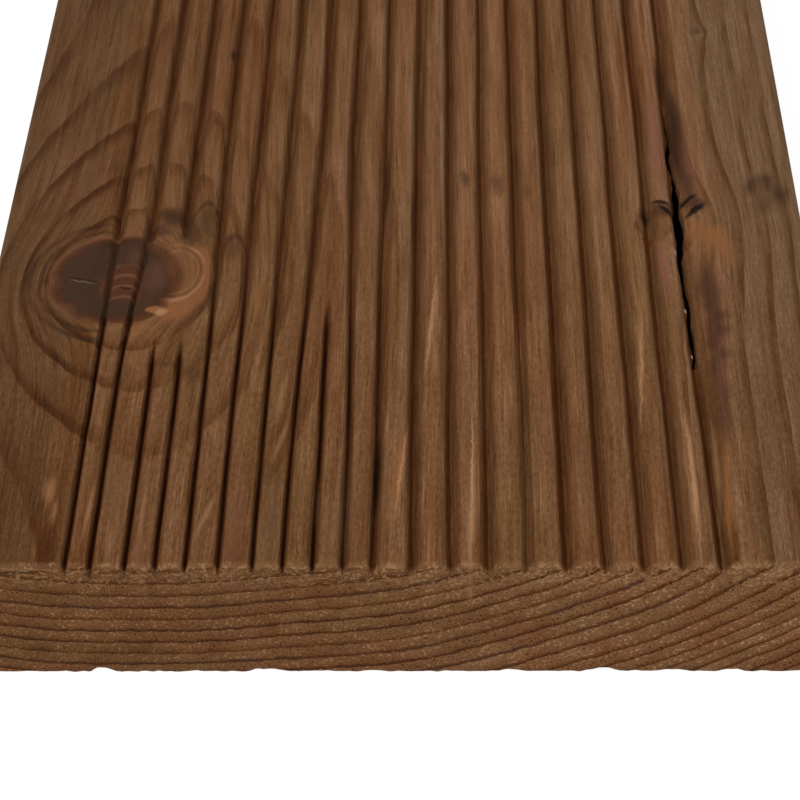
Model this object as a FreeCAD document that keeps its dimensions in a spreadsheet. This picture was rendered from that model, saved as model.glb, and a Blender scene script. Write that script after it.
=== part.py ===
"""Reeded decking board, planed from one piece of brown treated softwood.

The board is one solid. A moulder planes the blank to width and thickness, eases
its four long edges and runs a row of fine V grooves down the walking face, so
that round topped ribs stand between them. A flat margin is left along each long
edge, and the outermost groove flanks rise into it on a wider round. The two ends
are plain saw cuts, square to the length, and the underside is planed flat.

Frame: X across the board, Y along it, Z up. The origin is the middle of the
underside. All lengths are in millimetres, and angles are in degrees.
"""

import FreeCAD, Part
import math
import os
import Sketcher

# Each row: alias, value and what it is.
DRIVING_SIZES = [
    ("board_width", 145, "planed width"),
    ("board_thickness", 28, "planed thickness"),
    ("board_length", 1800, "sold length, cut square at both ends"),
    ("edge_ease", 1.5, "radius of the four long edges"),
    ("groove_count", 18, "grooves across the walking face"),
    ("groove_pitch", 6, "centre to centre of two grooves"),
    ("groove_depth", 2.5, "from the walking face to the lowest point"),
    ("flank_angle", 26, "each groove flank from the vertical"),
    ("floor_radius", 0.4, "round at the foot of a groove"),
    ("rib_radius", 1.5, "round along both sides of a rib"),
    ("margin_radius", 3.5, "round between the reeds and the flat margins"),
    ("cutter_rise", 2, "how far the cutter's outline stands above the face"),
]

# The end points and the centre of a sketch edge, and the sketch's own origin.
START, END, CENTRE = 1, 2, 3
ORIGIN = (-1, 1)


def make_sheet(doc):
    """The spreadsheet that holds every driving size under its own alias."""
    sheet = doc.addObject("Spreadsheet::Sheet", "Sizes")
    for row, (alias, value, meaning) in enumerate(DRIVING_SIZES, start=1):
        sheet.set(f"A{row}", meaning)
        sheet.set(f"B{row}", str(value))
        sheet.setAlias(f"B{row}", alias)
    doc.recompute()
    return sheet


def origin_item(body, role):
    """The body's own origin plane or axis with that role, such as XZ_Plane."""
    return next(item for item in body.Origin.OriginFeatures if item.Role == role)


def section_sketch(body, name):
    """A sketch of the board's section: X across the board, Y up from the underside."""
    sketch = body.newObject("Sketcher::SketchObject", name)
    sketch.AttachmentSupport = (origin_item(body, "XZ_Plane"), "")
    sketch.MapMode = "FlatFace"
    return sketch


def add_line(sketch, start, end):
    segment = Part.LineSegment(FreeCAD.Vector(*start, 0), FreeCAD.Vector(*end, 0))
    return sketch.addGeometry(segment, False)


def add_arc(sketch, centre, radius, first_angle, last_angle):
    """An arc drawn anticlockwise from the first angle to the last."""
    circle = Part.Circle(FreeCAD.Vector(*centre, 0), FreeCAD.Vector(0, 0, 1), radius)
    turned = Part.ArcOfCircle(circle, math.radians(first_angle), math.radians(last_angle))
    return sketch.addGeometry(turned, False)


def relate(sketch, *constraints):
    """Adds constraints that carry no size, such as coincident ends."""
    for constraint in constraints:
        sketch.addConstraint(Sketcher.Constraint(*constraint))


def dimension(sketch, name, formula, *constraint):
    """Adds a sized constraint, names it and ties its size to the spreadsheet."""
    sketch.renameConstraint(sketch.addConstraint(Sketcher.Constraint(*constraint)), name)
    sketch.setExpression(f"Constraints.{name}", formula)


def half_mouth(size, shoulder_radius):
    """From a groove's middle to where that shoulder's round meets the walking face.

    The flank is one straight line that touches the floor arc on one side and the
    shoulder arc on the other, so the width follows from both radii and the depth.
    """
    angle = math.radians(size["flank_angle"])
    arcs = size["floor_radius"] + shoulder_radius
    return (arcs + (size["groove_depth"] - arcs) * math.sin(angle)) / math.cos(angle)


def half_mouth_formula(shoulder_radius):
    """The same width as an expression on the spreadsheet's cells."""
    arcs = f"(Sizes.floor_radius + Sizes.{shoulder_radius})"
    angle = "(Sizes.flank_angle * 1 deg)"
    return f"({arcs} + (Sizes.groove_depth - {arcs}) * sin{angle}) / cos{angle}"


def plane_blank(body, size):
    """The planed blank: a rectangle on the underside, run to half the length each way."""
    sketch = section_sketch(body, "BlankSection")
    half, top = size["board_width"] / 2, size["board_thickness"]
    corners = [(-half, 0), (half, 0), (half, top), (-half, top)]
    under, right, face, left = [
        add_line(sketch, corner, corners[(number + 1) % 4]) for number, corner in enumerate(corners)
    ]
    relate(
        sketch,
        ("Coincident", under, END, right, START),
        ("Coincident", right, END, face, START),
        ("Coincident", face, END, left, START),
        ("Coincident", left, END, under, START),
        ("Horizontal", under),
        ("Vertical", right),
        ("Horizontal", face),
        ("Vertical", left),
        ("PointOnObject", under, START, -1),
    )
    dimension(sketch, "half_width", "Sizes.board_width / 2", "DistanceX", *ORIGIN, under, END, half)
    dimension(sketch, "width", "Sizes.board_width", "DistanceX", under, START, under, END, 2 * half)
    dimension(sketch, "thickness", "Sizes.board_thickness", "DistanceY", right, START, right, END, top)
    pad = body.newObject("PartDesign::Pad", "Blank")
    pad.Profile = sketch
    pad.SideType = "Symmetric"
    pad.setExpression("Length", "Sizes.board_length")
    return pad


def ease_long_edges(doc, body, blank, size):
    """The small round on the four edges that run the board's length."""
    doc.recompute()
    long_edges = [
        f"Edge{number}"
        for number, edge in enumerate(blank.Shape.Edges, start=1)
        if abs(edge.BoundBox.YLength - size["board_length"]) < 0.001
    ]
    ease = body.newObject("PartDesign::Fillet", "EasedEdges")
    ease.Base = (blank, long_edges)
    ease.setExpression("Radius", "Sizes.edge_ease")
    return ease


def cut_first_groove(body, size):
    """The leftmost groove: two rounded shoulders, two straight flanks and a round floor."""
    sketch = section_sketch(body, "GrooveSection")
    middle = -(size["groove_count"] - 1) / 2 * size["groove_pitch"]
    top, round_off, floor = size["board_thickness"], size["rib_radius"], size["floor_radius"]
    lean = size["flank_angle"]
    across, down = math.cos(math.radians(lean)), math.sin(math.radians(lean))
    mouth = half_mouth(size, round_off)
    floor_height = top - size["groove_depth"] + floor
    lid_height = top + size["cutter_rise"]

    def flank_ends(side):
        """The upper and lower ends of the flank on the side -1 or 1."""
        shoulder = (middle + side * (mouth - round_off * across), top - round_off + round_off * down)
        foot = (middle + side * floor * across, floor_height - floor * down)
        return shoulder, foot

    left_shoulder_end, left_foot = flank_ends(-1)
    right_shoulder_end, right_foot = flank_ends(1)
    left_corner, right_corner = middle - mouth, middle + mouth
    left_round = add_arc(sketch, (left_corner, top - round_off), round_off, lean, 90)
    left_flank = add_line(sketch, left_shoulder_end, left_foot)
    bottom = add_arc(sketch, (middle, floor_height), floor, 180 + lean, 360 - lean)
    right_flank = add_line(sketch, right_foot, right_shoulder_end)
    right_round = add_arc(sketch, (right_corner, top - round_off), round_off, 90, 180 - lean)
    right_side = add_line(sketch, (right_corner, top), (right_corner, lid_height))
    lid = add_line(sketch, (right_corner, lid_height), (left_corner, lid_height))
    left_side = add_line(sketch, (left_corner, lid_height), (left_corner, top))
    relate(
        sketch,
        ("Tangent", left_round, START, left_flank, START),
        ("Tangent", left_flank, END, bottom, START),
        ("Tangent", bottom, END, right_flank, START),
        ("Tangent", right_flank, END, right_round, END),
        ("Perpendicular", right_round, START, right_side, START),
        ("Coincident", right_side, END, lid, START),
        ("Coincident", lid, END, left_side, START),
        ("Perpendicular", left_side, END, left_round, END),
        ("Vertical", right_side),
        ("Horizontal", lid),
        ("Vertical", left_side),
        ("Equal", left_round, right_round),
        ("Horizontal", left_round, END, right_round, START),
    )
    dimension(sketch, "rib_round", "Sizes.rib_radius", "Radius", right_round, round_off)
    dimension(sketch, "floor_round", "Sizes.floor_radius", "Radius", bottom, floor)
    dimension(sketch, "right_lean", "90 deg - Sizes.flank_angle * 1 deg",
              "Angle", right_flank, math.radians(90 - lean))
    dimension(sketch, "left_lean", "Sizes.flank_angle * 1 deg - 90 deg",
              "Angle", left_flank, math.radians(lean - 90))
    dimension(sketch, "face_height", "Sizes.board_thickness", "DistanceY", *ORIGIN, right_side, START, top)
    dimension(sketch, "floor_height", "Sizes.board_thickness - Sizes.groove_depth + Sizes.floor_radius",
              "DistanceY", *ORIGIN, bottom, CENTRE, floor_height)
    dimension(sketch, "first_groove", "(Sizes.groove_count - 1) / 2 * Sizes.groove_pitch",
              "DistanceX", bottom, CENTRE, *ORIGIN, -middle)
    dimension(sketch, "rise", "Sizes.cutter_rise", "DistanceY", right_side, START, right_side, END,
              size["cutter_rise"])
    return cut_through(body, "Groove", sketch)


def cut_through(body, name, sketch):
    """Runs a cutter outline the whole length of the board."""
    pocket = body.newObject("PartDesign::Pocket", name)
    pocket.Profile = sketch
    pocket.Type = "Length"
    pocket.SideType = "Symmetric"
    pocket.setExpression("Length", "Sizes.board_length")
    return pocket


def repeat_grooves(body, groove):
    """The row of grooves, one pitch apart."""
    row = body.newObject("PartDesign::LinearPattern", "Reeds")
    row.Originals = [groove]
    row.Direction = (groove.Profile[0], ["H_Axis"])
    row.Mode = "Spacing"
    row.setExpression("Offset", "Sizes.groove_pitch")
    row.setExpression("Occurrences", "Sizes.groove_count")
    body.Tip = row
    return row


def round_margins(body, size):
    """The wider round from the flat margin into the first groove, and its mirror image."""
    sketch = section_sketch(body, "MarginSection")
    radius, top = size["margin_radius"], size["board_thickness"]
    lean = size["flank_angle"]
    first_groove = (size["groove_count"] - 1) / 2 * size["groove_pitch"]
    centre_x = -first_groove - half_mouth(size, radius)
    reach = radius * math.cos(math.radians(lean))
    flank_end = (centre_x + reach, top - radius + radius * math.sin(math.radians(lean)))
    lid_height = top + size["cutter_rise"]
    shoulder = add_arc(sketch, (centre_x, top - radius), radius, lean, 90)
    outer_side = add_line(sketch, (centre_x, top), (centre_x, lid_height))
    lid = add_line(sketch, (centre_x, lid_height), (flank_end[0], lid_height))
    inner_side = add_line(sketch, (flank_end[0], lid_height), flank_end)
    relate(
        sketch,
        ("Perpendicular", shoulder, END, outer_side, START),
        ("Coincident", outer_side, END, lid, START),
        ("Coincident", lid, END, inner_side, START),
        ("Coincident", inner_side, END, shoulder, START),
        ("Vertical", outer_side),
        ("Horizontal", lid),
        ("Vertical", inner_side),
    )
    dimension(sketch, "margin_round", "Sizes.margin_radius", "Radius", shoulder, radius)
    dimension(sketch, "face_height", "Sizes.board_thickness", "DistanceY", *ORIGIN, outer_side, START, top)
    dimension(sketch, "rise", "Sizes.cutter_rise", "DistanceY", outer_side, START, outer_side, END,
              size["cutter_rise"])
    dimension(sketch, "reach", "Sizes.margin_radius * cos(Sizes.flank_angle * 1 deg)",
              "DistanceX", shoulder, CENTRE, shoulder, START, reach)
    dimension(sketch, "margin_centre",
              f"(Sizes.groove_count - 1) / 2 * Sizes.groove_pitch + {half_mouth_formula('margin_radius')}",
              "DistanceX", shoulder, CENTRE, *ORIGIN, -centre_x)
    left_margin = cut_through(body, "LeftMargin", sketch)
    both = body.newObject("PartDesign::Mirrored", "BothMargins")
    both.Originals = [left_margin]
    both.MirrorPlane = (origin_item(body, "YZ_Plane"), [""])
    body.Tip = both
    return both


def make_board(doc, size):
    """The whole board as one body."""
    body = doc.addObject("PartDesign::Body", "DeckBoard")
    body.Label = "deck_board"
    blank = plane_blank(body, size)
    ease_long_edges(doc, body, blank, size)
    groove = cut_first_groove(body, size)
    repeat_grooves(body, groove)
    round_margins(body, size)
    doc.recompute()
    return body


def check(doc):
    """Stops the build if an object failed to recompute."""
    for item in doc.Objects:
        if "Invalid" in item.State or "Error" in item.State:
            raise RuntimeError(f"{item.Name} failed: {item.State}")


def export(body):
    """Writes the body's one solid under its own label."""
    shape = body.Shape
    if shape.isNull() or not shape.isValid() or len(shape.Solids) != 1:
        raise RuntimeError(f"{body.Label} isn't one valid solid")
    os.makedirs("parts", exist_ok=True)
    shape.exportStep(f"parts/{body.Label}.step")
    box = shape.BoundBox
    print(f"{body.Label}: {box.XLength:.3f} x {box.YLength:.3f} x {box.ZLength:.3f} mm, "
          f"{len(shape.Faces)} faces, {shape.Volume / 1e6:.4f} litres")


def main():
    doc = FreeCAD.newDocument("DeckingBoard")
    sheet = make_sheet(doc)
    size = {alias: sheet.get(alias) for alias, _, _ in DRIVING_SIZES}
    board = make_board(doc, size)
    check(doc)
    export(board)


main()
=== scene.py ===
"""The look of a reeded decking board of brown treated softwood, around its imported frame."""

import math

import bpy
import numpy as np
from mathutils import Matrix, Vector


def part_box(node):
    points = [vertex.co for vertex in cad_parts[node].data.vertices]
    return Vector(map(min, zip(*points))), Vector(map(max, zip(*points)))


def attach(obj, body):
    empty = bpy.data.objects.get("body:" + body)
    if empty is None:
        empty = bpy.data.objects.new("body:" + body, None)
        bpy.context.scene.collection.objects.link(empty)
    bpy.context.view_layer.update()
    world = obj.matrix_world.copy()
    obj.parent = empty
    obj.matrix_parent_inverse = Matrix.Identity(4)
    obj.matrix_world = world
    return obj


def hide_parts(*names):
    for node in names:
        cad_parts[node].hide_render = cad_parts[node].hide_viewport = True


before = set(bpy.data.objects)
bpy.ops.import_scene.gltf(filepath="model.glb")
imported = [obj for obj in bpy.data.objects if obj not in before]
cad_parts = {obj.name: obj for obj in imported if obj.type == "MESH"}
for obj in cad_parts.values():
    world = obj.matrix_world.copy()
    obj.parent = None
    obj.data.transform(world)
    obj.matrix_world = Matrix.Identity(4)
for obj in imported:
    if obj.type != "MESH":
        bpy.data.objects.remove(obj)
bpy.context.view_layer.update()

# The view
# The camera stands before the sawn end, a forearm above the board, and looks down along
# the reeds at 47 degrees, so that both long edges run out of the top of the picture.
MM = 0.001
board_low, board_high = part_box("deck_board")
EYE = Vector((9.83 * MM, board_low[1] - 185.67 * MM, 267.11 * MM))
LOOK = Vector((-0.02875, 0.67820, -0.73431))
PICTURE_RIGHT = Vector((0.99957, 0.01591, -0.02443))
LENS = 88.02

camera = bpy.data.objects.new("camera", bpy.data.cameras.new("camera"))
camera.data.lens = LENS
camera.data.sensor_width = 36
camera.data.clip_start = 0.01
back = -LOOK.normalized()
right = PICTURE_RIGHT.normalized()
turn = Matrix((right, back.cross(right), back)).transposed()
camera.matrix_world = Matrix.Translation(EYE) @ turn.to_4x4()
bpy.context.scene.collection.objects.link(camera)
bpy.context.scene.camera = camera
bpy.context.scene.view_settings.view_transform = "Standard"


# The studio
# A white sheet under the board, a white room round it, a large soft lamp from the upper
# left and a weaker one from the right. None of it is part of the board.
SHEET_REACH = 6.0
SHADOW_SHARE = 0.12
SKY_STRENGTH = 0.46
GLOW = 1.05
KEY_PLACE = (-0.45, board_low[1] - 0.30, 1.30)
KEY_POWER = 12.0
FILL_PLACE = (0.9, board_low[1] - 0.9, 0.9)
FILL_POWER = 3.4
LAMP_SIDE = 0.8
LAMP_TARGET = (0, board_low[1] + 0.08, board_high[2])


class Socket:
    """One output in a node tree. Arithmetic on it adds Math nodes."""

    def __init__(self, tree, output=None):
        self.tree = tree
        self.output = output

    def node(self, kind, settings=None, inputs=None, output=0):
        """Adds a node: its settings first, then the values or links of its sockets."""
        made = self.tree.nodes.new(kind)
        for name, value in (settings or {}).items():
            setattr(made, name, value)
        for name, value in (inputs or {}).items():
            if isinstance(value, Socket):
                self.tree.links.new(value.output, made.inputs[name])
            else:
                made.inputs[name].default_value = value
        return Socket(self.tree, made.outputs[output])

    def math(self, operation, *others):
        return self.node("ShaderNodeMath", {"operation": operation}, dict(enumerate([self, *others])))

    def __add__(self, other):
        return self.math("ADD", other)

    def __sub__(self, other):
        return self.math("SUBTRACT", other)

    def __mul__(self, other):
        return self.math("MULTIPLY", other)

    def __truediv__(self, other):
        return self.math("DIVIDE", other)

    def __pow__(self, other):
        return self.math("POWER", other)

    def __abs__(self):
        return self.math("ABSOLUTE")

    def __radd__(self, other):
        return self + other

    def __rmul__(self, other):
        return self * other

    def __rsub__(self, other):
        return self.math("MULTIPLY_ADD", -1.0, other)

    def scaled(self, factor, added):
        """This value times factor, plus added."""
        return self.math("MULTIPLY_ADD", factor, added)

    def ramp(self, low, high, top=1.0):
        """0 up to low, top from high on, and smooth between. With low above high it falls."""
        inputs = {"Value": self, "From Min": low, "From Max": high, "To Max": top}
        return self.node("ShaderNodeMapRange", {"interpolation_type": "SMOOTHSTEP"}, inputs)

    def peak(self, middle, half):
        """A smooth hill of height 1 over middle, and 0 from half on to each side."""
        return abs(self - middle).ramp(half, 0)

    def plateau(self, low, high, soft):
        """1 from low to high, and 0 from soft beyond them on."""
        return self.ramp(low - soft, low) * self.ramp(high + soft, high)

    def noise(self, size, detail=2.0, roughness=0.5):
        """Clouds from 0 to 1 at this place, their lumps about as large as size in x, y and z."""
        lumps = self.node("ShaderNodeVectorMath", {"operation": "DIVIDE"}, {0: self, 1: size})
        inputs = {"Vector": lumps, "Scale": 1.0, "Detail": detail, "Roughness": roughness}
        return self.node("ShaderNodeTexNoise", {"noise_dimensions": "3D"}, inputs)

    def paint(self, under, over, blend="MIX"):
        """This value as a mask: the first colour where it is 0, the second blended in where it is 1."""
        settings = {"data_type": "RGBA", "blend_type": blend}
        return self.node("ShaderNodeMix", settings, {0: self, 6: opaque(under), 7: opaque(over)}, 2)

    def parts(self):
        """The three values of a vector."""
        split = self.node("ShaderNodeSeparateXYZ", inputs={0: self}).output.node
        return [Socket(self.tree, part) for part in split.outputs]


def opaque(colour):
    return colour if isinstance(colour, Socket) else (*colour, 1.0)


def shown(red, green, blue):
    """The linear colour that a screen shows as these 8 bit values: the sRGB curve turned round."""
    values = np.array([red, green, blue]) / 255
    return tuple(np.where(values <= 0.04045, values / 12.92, ((values + 0.055) / 1.055) ** 2.4).tolist())


def new_material(name):
    """A material, its surface shader and a first socket to start expressions from."""
    material = bpy.data.materials.new(name)
    material.use_nodes = True
    return material, material.node_tree.nodes["Principled BSDF"], Socket(material.node_tree)


def followed_ray(start):
    """1 for rays that an eye follows: straight ones, and those off gloss or through glass."""
    kinds = ("Is Camera Ray", "Is Glossy Ray", "Is Transmission Ray")
    straight, glossy, through = (start.node("ShaderNodeLightPath", output=kind) for kind in kinds)
    return (straight + glossy + through).math("MINIMUM", 1.0)


sheet_mesh = bpy.data.meshes.new("paper")
reach = SHEET_REACH
level = board_low[2]
sheet_mesh.from_pydata(
    [(-reach, -reach, level), (reach, -reach, level), (reach, reach, level), (-reach, reach, level)],
    [], [(0, 1, 2, 3)],
)
sheet = bpy.data.objects.new("paper", sheet_mesh)
bpy.context.scene.collection.objects.link(sheet)
paper, paper_shader, start = new_material("paper")
paper_shader.inputs["Base Color"].default_value = (1, 1, 1, 1)
paper_shader.inputs["Roughness"].default_value = 1.0
lit = Socket(paper.node_tree, paper_shader.outputs[0])
glow = start.node("ShaderNodeEmission", inputs={"Color": (1, 1, 1, 1), "Strength": GLOW})
share = followed_ray(start) * (1 - SHADOW_SHARE)
surface = start.node("ShaderNodeMixShader", inputs={0: share, 1: lit, 2: glow})
paper.node_tree.links.new(surface.output, paper.node_tree.nodes["Material Output"].inputs["Surface"])
sheet_mesh.materials.append(paper)

world = bpy.data.worlds.new("room")
bpy.context.scene.world = world
world.use_nodes = True
room = world.node_tree.nodes["Background"]
room.inputs["Color"].default_value = (1, 1, 1, 1)
strength = followed_ray(Socket(world.node_tree)) * (1 - SKY_STRENGTH) + SKY_STRENGTH
world.node_tree.links.new(strength.output, room.inputs["Strength"])

for name, place, power in (("key", KEY_PLACE, KEY_POWER), ("fill", FILL_PLACE, FILL_POWER)):
    light = bpy.data.lights.new(name, "AREA")
    light.size = LAMP_SIDE
    light.energy = power
    lamp = bpy.data.objects.new(name, light)
    aim = (Vector(LAMP_TARGET) - Vector(place)).to_track_quat("-Z", "Y")
    lamp.matrix_world = Matrix.Translation(place) @ aim.to_matrix().to_4x4()
    bpy.context.scene.collection.objects.link(lamp)


# The board
# One piece of treated softwood, planed flat with eased edges. A moulder's cutters leave
# eighteen V grooves, and two short ones start at the knot and at a rib near the sawn end.
WIDTH = (board_high[0] - board_low[0]) / MM
LENGTH = (board_high[1] - board_low[1]) / MM
THICKNESS = (board_high[2] - board_low[2]) / MM
GROOVES = 18
PITCH = 6.0
FIRST_GROOVE = -(GROOVES - 1) / 2 * PITCH
GROOVE_DEPTH = 2.5
FLANK_ANGLE = math.radians(26)
FLOOR_RADIUS = 0.4
EDGE_EASE = 1.5

# The cutters bite less on the left, where the reeds are flat topped, and fully on the right.
LEFT_BITE = 0.72
RIGHT_BITE = 0.92
LEFT_RIB_RADIUS = 0.9
RIGHT_RIB_RADIUS = 1.6
LEFT_SHOULDER, RIGHT_SHOULDER = 0.8, 1.4
LEFT_MARGIN_SHARE, RIGHT_MARGIN_SHARE = 1.2, 2.2

# Rows along the board, from the sawn end: fine at the arris, close over the knot and the
# check, long over the rest, and fine again at the far end.
ARRIS = 3.0
CLOSE_END = 152.0
ARRIS_ROWS = 10
CLOSE_ROWS = 150
LONG_ROWS = 108
FAR_ROWS = 6
ROW_SWELL = 1.4

# Stations across the top: shares of each gap between two grooves, close where the walls
# turn, and shares of a flat margin outwards from the outermost groove.
GAP_SHARES = np.array([0, 0.06, 0.12, 0.177, 0.225, 0.3, 0.4, 0.5, 0.6, 0.7, 0.775, 0.823, 0.88, 0.94])
MARGIN_SHARES = np.array([18, 35, 55, 80, 110, 145, 185, 240, 300, 370, 440, 515, 590, 665, 740, 815, 900, 1000]) / 1000
EASE_TURNS = np.radians([45, 67.5])
SIDE_STEPS = 26
COARSE_SIDE = np.array([1, 2, 9, 15, 21, 28, 29])


def eased(value, low, high):
    """0 up to low, 1 from high on, smooth between: 3 t squared less 2 t cubed."""
    share = np.clip((value - low) / (high - low), 0, 1)
    return share * share * (3 - 2 * share)


def lumps(seed, *places):
    """Smooth seeded noise from -1 to 1: random heights on a unit lattice, eased between."""
    table = np.random.default_rng(seed).uniform(-1, 1, (64,) * len(places))
    lows = [np.floor(place).astype(int) for place in places]
    shares = [eased(place - low, 0, 1) for place, low in zip(places, lows, strict=True)]
    total = 0
    for corner in np.ndindex(*(2,) * len(places)):
        weight = 1
        for step, share in zip(corner, shares, strict=True):
            weight = weight * (share if step else 1 - share)
        total = total + weight * table[tuple((low + step) % 64 for low, step in zip(lows, corner, strict=True))]
    return total


# Between grooves 1 and 4, and 6 and 9, four ribs reach the sawn end where three start.
# The two inner grooves spread from thirds of the gap to quarters and a short one rises.
SPREAD_GAPS = {0: (0.207, 0.5, 0.75, 82.0, 40.0), 5: (0.25, 0.5, 0.75, 115.0, 8.0)}
DRIFT_FROM, DRIFT_TO = 115.0, 8.0
FRONT_DRIFT = {3: 0.8, 4: -0.3, 5: -0.9}
SHALLOW_GROOVE, SHALLOW_SHARE = 12, 0.3
CHECK_DRIFT = 0.7
NARROWING = 1.15
KNOT_GAP_FROM, KNOT_GAP_TO = 73.0, 52.5
SHORT_STARTS = {0: 52.0, 5: 61.0}
LEAD = 9.0


def groove_lines(y):
    """Each groove's middle and its share of the full depth, at every place y along the board."""
    drifted = eased(-y, -DRIFT_FROM, -DRIFT_TO)
    lines = {groove: FIRST_GROOVE + groove * PITCH - 0.2 + 0.14 * lumps(groove, y / 28) for groove in range(GROOVES)}
    depths = {groove: 0.92 + 0.08 * lumps(20 + groove, y / 30) for groove in range(GROOVES)}
    depths[SHALLOW_GROOVE] = depths[SHALLOW_GROOVE] - SHALLOW_SHARE * eased(-y, -70, -40)
    lines[GROOVES - 1] = lines[GROOVES - 1] - CHECK_DRIFT * eased(y, 25, 50) * eased(-y, -135, -110)
    lines[0] = lines[0] - 0.15
    lines[1] = lines[1] - 0.4
    for groove, drift in FRONT_DRIFT.items():
        lines[groove] = lines[groove] + drift * drifted
    for first, (inner, middle, outer, spread_from, spread_to) in SPREAD_GAPS.items():
        spread = eased(-y, -spread_from, -spread_to)
        gap = lines[first + 3] - lines[first]
        lines[first + 1] = lines[first + 1] * (1 - spread) + (lines[first] + gap * inner) * spread
        lines[first + 2] = lines[first + 2] * (1 - spread) + (lines[first] + gap * outer) * spread
        lines[first + 1.5] = lines[first] + gap * middle
        short_start = SHORT_STARTS[first]
        depths[first + 1.5] = eased(-y, -short_start, -short_start + LEAD)
    buried = eased(-y, -KNOT_GAP_FROM - LEAD, -KNOT_GAP_FROM) * eased(y, KNOT_GAP_TO - LEAD, KNOT_GAP_TO)
    depths[2] = 1 - buried
    over_knot = eased(y, 54, 57) * eased(-y, -77, -73)
    depths[0] = depths[0] - 0.4 * over_knot
    depths[1] = depths[1] - 0.4 * over_knot
    order = sorted(lines)
    return np.array([lines[key] for key in order]), np.array([depths[key] for key in order])


def groove_wall(across, shoulder):
    """How far a groove's wall lies below the face, that far across from its middle.

    From the middle out: the floor's arc, a straight flank that touches it, and the
    shoulder's arc, which runs out level with the face.
    """
    cos, sin = math.cos(FLANK_ANGLE), math.sin(FLANK_ANGLE)
    mouth = (FLOOR_RADIUS + shoulder + (GROOVE_DEPTH - FLOOR_RADIUS - shoulder) * sin) / cos
    foot = FLOOR_RADIUS * cos
    floor = GROOVE_DEPTH - FLOOR_RADIUS + np.sqrt(np.maximum(FLOOR_RADIUS**2 - across**2, 0))
    flank = GROOVE_DEPTH - FLOOR_RADIUS * (1 - sin) - (across - foot) * cos / sin
    lip = shoulder - np.sqrt(np.maximum(shoulder**2 - (mouth - across) ** 2, 0))
    wall = np.where(across <= foot, floor, np.where(across <= mouth - shoulder * cos, flank, lip))
    return np.where(across >= mouth, 0, wall)


def reeds(x, y):
    """Depth of the reeded face below its flat margins: the deepest groove wall at each place."""
    lines, depths = groove_lines(y)
    shift = 0.07 * lumps(40, x / 1.6, y[:, None] / 7)
    rightness = eased(x, -30, 40)
    bite = LEFT_BITE + (RIGHT_BITE - LEFT_BITE) * rightness
    rib_radius = LEFT_RIB_RADIUS + (RIGHT_RIB_RADIUS - LEFT_RIB_RADIUS) * rightness
    narrow = 1 + NARROWING * eased(-x, -5, 15) * eased(-y[:, None], -75, -45)
    deepest = np.zeros_like(x)
    for number, (line, depth) in enumerate(zip(lines, depths, strict=True)):
        offset = x + shift - line[:, None]
        left_of, right_of = (LEFT_SHOULDER, RIGHT_SHOULDER)
        left_of = LEFT_MARGIN_SHARE if number == 0 else left_of
        right_of = RIGHT_MARGIN_SHARE if number == len(lines) - 1 else right_of
        shoulder = rib_radius * np.where(offset > 0, right_of, left_of)
        wall = groove_wall(np.abs(offset) * narrow, shoulder) - GROOVE_DEPTH * (1 - depth[:, None])
        deepest = np.maximum(deepest, wall * bite)
    return deepest


# The check: a split that opened along the floor of the last groove, through a star
# shaped knot. Its edges are ragged, and it is widest just below the knot.
CHECK_FROM, CHECK_TO = 44.5, 113.0
CHECK_WIDEST = 76.5
CHECK_HALF = 0.76
CHECK_DEPTH = 6.5
INNER_STATION, OUTER_STATION, CALM_STATION = 0.36, 0.71, 3.0


def check_half(y):
    """Half the check's width at each y: a long taper up, a quicker one down, ragged throughout."""
    up = np.clip((CHECK_TO - y) / (CHECK_TO - CHECK_WIDEST), 0, 1)
    down = np.clip((y - CHECK_FROM) / (CHECK_WIDEST - CHECK_FROM), 0, 1)
    body = CHECK_HALF * np.minimum(up, 0.75 * down**0.3 + 0.25 * down**9)
    return body * (1 + 0.4 * lumps(51, y / 2.4) + 0.3 * lumps(53, y / 1.1))


def open_check(x, y, line):
    """The stations at 0.36 mm go just inside the edges and those at 0.71 mm just outside
    them, and the push fades out 3 mm from the groove.
    """
    half = check_half(y)[:, None]
    offset = x - line[:, None]
    from_line = np.abs(offset)
    inside = from_line < (INNER_STATION + OUTER_STATION) / 2
    outer = half + 0.06
    pushed = outer + (from_line - OUTER_STATION) * (CALM_STATION - outer) / (CALM_STATION - OUTER_STATION)
    moved = np.where(inside, from_line / INNER_STATION * np.maximum(half - 0.05, 0.02), pushed)
    open_here = (half > 0.08) & (from_line < CALM_STATION)
    bend = (0.3 * lumps(52, y / 7) + 0.25 * lumps(54, y / 2.6))[:, None] * (1 - np.minimum(from_line / CALM_STATION, 1))
    depth = np.where(open_here & inside, CHECK_DEPTH * np.minimum(half / 0.4, 1) * (1 - from_line / 2), 0)
    return np.where(open_here, line[:, None] + np.sign(offset) * moved - bend, x), depth


def along_rows():
    """Places of the rows along the board, from the sawn end."""
    far = LENGTH - ARRIS
    stretches = [
        np.linspace(0, 1, ARRIS_ROWS + 1) ** ROW_SWELL * ARRIS,
        np.linspace(ARRIS, CLOSE_END, CLOSE_ROWS + 1)[1:],
        np.linspace(CLOSE_END, far, LONG_ROWS + 1)[1:],
        np.linspace(far, LENGTH, FAR_ROWS + 1)[1:],
    ]
    return np.concatenate(stretches)


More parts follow.
